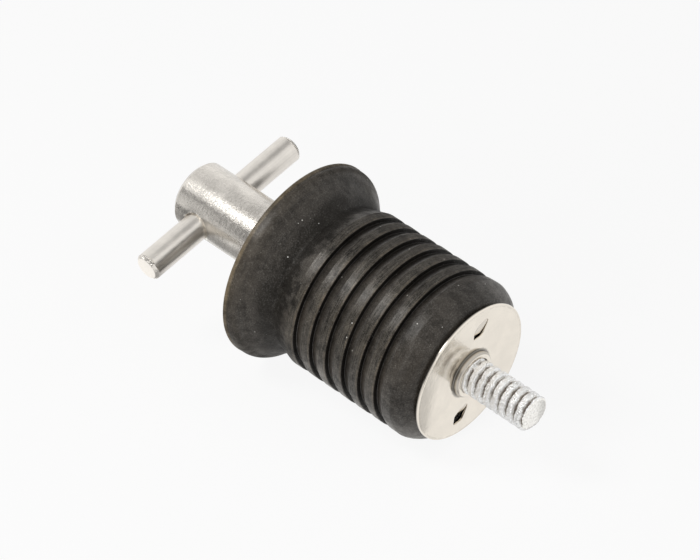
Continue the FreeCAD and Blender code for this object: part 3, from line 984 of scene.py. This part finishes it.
class DRAINPLUG_OT_plate(bpy.types.Operator):
    """Makes the plated clamp plate, with its drawn collar and its two spurs bent into the rubber"""
    bl_idname = "drain_plug.plate"
    bl_label = "Clamp plate"

    def execute(self, context):
        """The plate is two pierced faces, the turned rim and collar that join them, a wall round each
        opening, and the spurs as slabs of their own."""
        sizes = context.scene.drain_plug_plate
        back = rubber_length(context.scene.drain_plug_stopper)
        face, bore, outer = back + sizes.thickness, sizes.bore_dia / 2, sizes.outer_dia / 2
        top, collar = face + sizes.collar_height, bore + sizes.collar_wall
        inner, rim = collar + sizes.collar_fillet + 0.2 * MM, outer - 0.4 * MM
        radii = np.linspace(inner, rim, FACE_ROWS)
        (front, front_holes), (rear, rear_holes) = (
            pierced_face(level, radii, PLATE_COLUMNS, sizes, sizes.spur_gap, SPUR_BLOCK)
            for level in (face, back))
        edge = softened([[face, rim], [face, outer], [back, outer], [back, rim]], [sizes.edge_round] * 2)
        drawn = softened(
            [[face, inner], [face, collar], [top, collar], [top, bore], [back, bore], [back, inner]],
            [sizes.collar_fillet, sizes.collar_lip, 0.08 * MM, sizes.collar_fillet * 1.5])
        turned = [lathe(outline, PLATE_COLUMNS, sizes.spur_place - math.pi / 2,
                        plate_shade_mark(outline[:, :1], outline[:, 1:], face, collar, rim))
                  for outline in (filled(edge, 0.2 * MM), filled(drawn, 0.1 * MM))]
        down = np.array([0, 0.04, 0.15, 1])[:, None]
        shrink = np.array([1.0, 0.985, 0.975, 0.975])[:, None, None]
        walls = []
        for (middle, front_edge), (_, rear_edge) in zip(front_holes, rear_holes):
            flat = middle + (front_edge - middle) * shrink
            flat[-1] = rear_edge
            walls.append(sheet(flat_points(face - down * sizes.thickness, flat)))
        tongues = [spur_tongue(face, sizes, number, bend)
                   for number, bend in enumerate((sizes.upper_spur_bend, sizes.spur_bend))]
        placed("plate_disc", front + rear + turned + walls + tongues,
               plate_finish("plated_sheet", sizes.metal), "plate", "clamp_plate")
        return {"FINISHED"}


def plate_shade_mark(way, out, face, collar, rim):
    """The mark of the turned parts, for painted shade and painted dark reflection: 1 at the collar's foot and
    down in the tapped hole, half on the collar's wall and on a fine line just inside the rim, and 0
    elsewhere."""
    foot = np.maximum(1 - (abs(way - face) + abs(out - collar - 0.05 * MM)) / (0.5 * MM), 0)
    bore = np.clip((face - 0.15 * MM - way) / MM * 4, 0, 1)
    wall = 0.5 * (out > collar - 0.3 * MM) * (way > face + 0.1 * MM)
    line = 0.5 * np.maximum(1 - abs(out - rim - 0.08 * MM) / (0.12 * MM), 0)
    return np.minimum(foot + bore + wall + line, 1)


def spur_tongue(face, sizes, number, bend):
    """One spur as a closed slab: its outline shrinks to its middle on both sides, and the slab is turned by
    the bend about its fold."""
    angle = round_angles(SPUR_COLUMNS)
    flat = kite_reach(angle, sizes, 0.0)[:, None] * headings(angle)
    spread = np.array([0, 0.4, 0.8, 0.97, 1, 1, 0.97, 0.8, 0.4, 0])[:, None]
    level = np.array([0, 0, 0, 0, 0.1, 0.9, 1, 1, 1, 1])[:, None]
    run, aside = spread * flat[:, 0] + sizes.spur_length / 2, spread * flat[:, 1]
    down = level * sizes.thickness
    bent_run = run * math.cos(bend) - down * math.sin(bend) - 0.1 * MM
    bent_down = run * math.sin(bend) + down * math.cos(bend)
    ahead = headings(sizes.spur_direction)
    left = np.array([-ahead[1], ahead[0]])
    fold = spur_middle(sizes, number) - ahead * sizes.spur_length / 2
    points = fold + bent_run[..., None] * ahead + aside[..., None] * left
    return sheet(flat_points(face - bent_down, points), mark=0.2)


# Each lamp's direction from the plug (along it, to its back, to its top), its width and its watts
LAMPS = {
    "key_lamp": ((-0.477, -0.506, 0.719), 0.20, 1.3),
    "side_lamp": ((0.70, 0.20, 0.68), 0.35, 0.5),
    "fill_lamp": ((0.05, -0.96, 0.20), 0.40, 3.1),
}
LAMP_DISTANCE = 0.60
# How far along the plug the place lies that the lamps shine on
LIT_PLACE = 15 * MM
# Each card's middle and half its two sides in millimetres, and how bright it is where 1 is white
CARDS = {
    "card_over": ((-190, 34, 350), (120, 0, 65), (0, 140, 0), 0.85),
    "card_front": ((-190, -346, 130), (150, -82, 0), (0, 0, 170), 0.24),
    "card_roof": ((-28, 24, 80), (20, 0, 0), (0, 44, 0), 0.45),
    "card_back": ((-28, 66, 40), (20, 0, 0), (0, 0, 42), 0.20),
    "card_step": ((-50, -66, 0.4), (26, 0, 0), (0, 34, 0), 0.10),
    "strip_rubber": ((-27, -49, 86), (25.5, 0, 0), (0, 10.6, 7.5), 7.4),
    "strip_barrel": ((-65, -56, 70), (11, 0, 0), (0, 4.4, 4.8), 1.35),
    "shade_barrel": ((-59, -56.8, 71), (11, 0, 0), (0, 8.9, 9.8), 0.5),
    "card_end": ((-63, -50, 22), (9, 0, 0), (0, 0, 20), 0.85),
    "card_right": ((50, -42, 16), (18, 0, 0), (0, 0, 18), 0.45),
    "card_bed": ((35.5, 6, 0.4), (9.5, 13, 0), (0, 3.5, 0), 0.62),
    "card_foot": ((-33, -18, 0.3), (25, 0, 0), (0, 14, 0), 0.42),
    "card_tip": ((-33.7, -17.4, 11.7), (3.3, 0, -2.3), (0.5, -3.9, 0.8), 1.0),
}
# Half the floor's side in metres, and how much of its brightness is its own
FLOOR_REACH, FLOOR_WHITE = 1.5, 0.9
# What the camera looks at, in millimetres along the plug, to its back and to its top
CAMERA_AIM = (11.3544, -0.2014, 2.6895)


class DRAINPLUG_OT_stage(bpy.types.Operator):
    """Sets the floor, the soft lamps, the white surround and the camera"""
    bl_idname = "drain_plug.stage"
    bl_label = "Stage"

    def execute(self, context):
        sizes = context.scene.drain_plug_stage
        make_floor(float(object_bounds()[0][2]), sizes)
        make_surround(context.scene, sizes)
        for name, (towards, size, power) in LAMPS.items():
            make_lamp(name, towards, size, power)
        for name, (*sides, level) in CARDS.items():
            make_card(name, sides, level)
        make_camera(context.scene, sizes)
        context.scene.view_settings.view_transform = "Standard"
        return {"FINISHED"}


def flat_card(name, middle, first, second, material):
    """A rectangle of the stage, from its middle and half its two sides."""
    mesh = bpy.data.meshes.new(name)
    corners = ((-1, -1), (1, -1), (1, 1), (-1, 1))
    mesh.from_pydata([tuple(middle + x * first + y * second) for x, y in corners], [], [(0, 1, 2, 3)])
    mesh.materials.append(material)
    card = in_scene(name, mesh)
    card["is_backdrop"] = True
    return card


def make_floor(level, sizes):
    """A plain pale floor. To the camera and in reflections it is partly white of itself, so that it stays
    pale under soft lamps and still takes the plug's shadow, and it throws less light up at the plug."""
    f = Finish("plain_floor")
    seen = f.seen_directly()
    matt = f.add("ShaderNodeBsdfDiffuse", {}, {"Color": f.mix(seen, sizes.floor_bounce, sizes.floor)})
    surface = f.add("ShaderNodeMixShader", {}, {0: seen * FLOOR_WHITE, 1: matt, 2: f.glow(1.0)})
    flat_card("floor", np.array([0.0, 0.0, level]), np.array([FLOOR_REACH, 0.0, 0.0]),
              np.array([0.0, FLOOR_REACH, 0.0]), f.ended(surface))


def make_card(name, sides, level):
    """A card that only reflections see, grey or glowing, which shapes the highlights on rubber and metal."""
    f = Finish(name)
    card = flat_card(name, *(np.array(side, float) * MM for side in sides), f.ended(f.glow(level)))
    card.visible_camera = card.visible_diffuse = card.visible_shadow = False


def make_surround(scene, sizes):
    """A white surround: fully white to the camera, reflections and glass, and weaker as a light."""
    scene.world = bpy.data.worlds.new("surround")
    f = Finish("surround", scene.world)
    strength = f.seen_directly() * (1 - sizes.surround) + sizes.surround
    light = f.add("ShaderNodeBackground", {}, {"Color": WHITE, "Strength": strength})
    f.ended(light, "ShaderNodeOutputWorld")


def make_lamp(name, towards, size, power):
    """A soft square lamp for matt surfaces. Reflections see the cards instead."""
    lamp = bpy.data.lights.new(name, "AREA")
    lamp.shape, lamp.size, lamp.energy = "SQUARE", size, power
    way = PLUG_AXES @ np.array(towards)
    way = way / np.linalg.norm(way)
    holder = in_scene(name, lamp)
    holder.location = FLANGE_CENTRE + LIT_PLACE * ALONG + way * LAMP_DISTANCE
    holder.rotation_euler = Vector(way).to_track_quat("Z", "Y").to_euler()
    holder.visible_glossy = False


def make_camera(scene, sizes):
    """The camera, set in the plug's own directions: along its axis, to its back and to its top."""
    turned, above, roll = sizes.camera_round, sizes.camera_above, sizes.camera_roll
    level = math.cos(above)
    behind = np.array([math.sin(turned) * level, -math.cos(turned) * level, math.sin(above)])
    right = np.array([math.cos(turned), math.sin(turned), 0.0])
    top = np.cross(behind, right)
    right, top = (right * math.cos(roll) + top * math.sin(roll),
                  top * math.cos(roll) - right * math.sin(roll))
    place = FLANGE_CENTRE + PLUG_AXES @ (np.array(CAMERA_AIM) * MM + behind * sizes.camera_distance)
    data = bpy.data.cameras.new("camera")
    data.sensor_width, data.lens, data.clip_start = 36.0, sizes.lens, 0.01
    matrix = Matrix.Identity(4)
    for number, axis in enumerate((PLUG_AXES @ right, PLUG_AXES @ top, PLUG_AXES @ behind, place)):
        matrix.col[number][:3] = tuple(axis)
    scene.camera = in_scene("camera", data)
    scene.camera.matrix_world = matrix


class DRAINPLUG_PT_sidebar(bpy.types.Panel):
    """Lists the drain plug's pieces and the stage"""
    bl_idname = "DRAINPLUG_PT_sidebar"
    bl_label = "Drain plug"
    bl_space_type = "VIEW_3D"
    bl_region_type = "UI"
    bl_category = "Drain plug"

    def draw(self, context):
        for operator in OPERATORS:
            self.layout.operator(operator.bl_idname)


SIZES = {
    "drain_plug_stopper": StopperSizes,
    "drain_plug_washer": WasherSizes,
    "drain_plug_barrel": BarrelSizes,
    "drain_plug_bar": BarSizes,
    "drain_plug_screw": ScrewSizes,
    "drain_plug_plate": PlateSizes,
    "drain_plug_stage": StageSettings,
}
OPERATORS = (DRAINPLUG_OT_stopper, DRAINPLUG_OT_washer, DRAINPLUG_OT_barrel, DRAINPLUG_OT_cross_bar,
             DRAINPLUG_OT_screw, DRAINPLUG_OT_plate, DRAINPLUG_OT_stage)


def register():
    for name, group in SIZES.items():
        bpy.utils.register_class(group)
        setattr(bpy.types.Scene, name, bpy.props.PointerProperty(type=group))
    for kind in (*OPERATORS, DRAINPLUG_PT_sidebar):
        bpy.utils.register_class(kind)


def unregister():
    for kind in (DRAINPLUG_PT_sidebar, *reversed(OPERATORS)):
        bpy.utils.unregister_class(kind)
    for name, group in SIZES.items():
        delattr(bpy.types.Scene, name)
        bpy.utils.unregister_class(group)


def main():
    """Makes the pieces and the stage."""
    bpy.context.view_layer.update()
    register()
    bpy.ops.drain_plug.stopper()
    bpy.ops.drain_plug.washer()
    bpy.ops.drain_plug.barrel()
    bpy.ops.drain_plug.cross_bar()
    bpy.ops.drain_plug.screw()
    bpy.ops.drain_plug.plate()
    bpy.ops.drain_plug.stage()


if __name__ == "__main__":
    main()
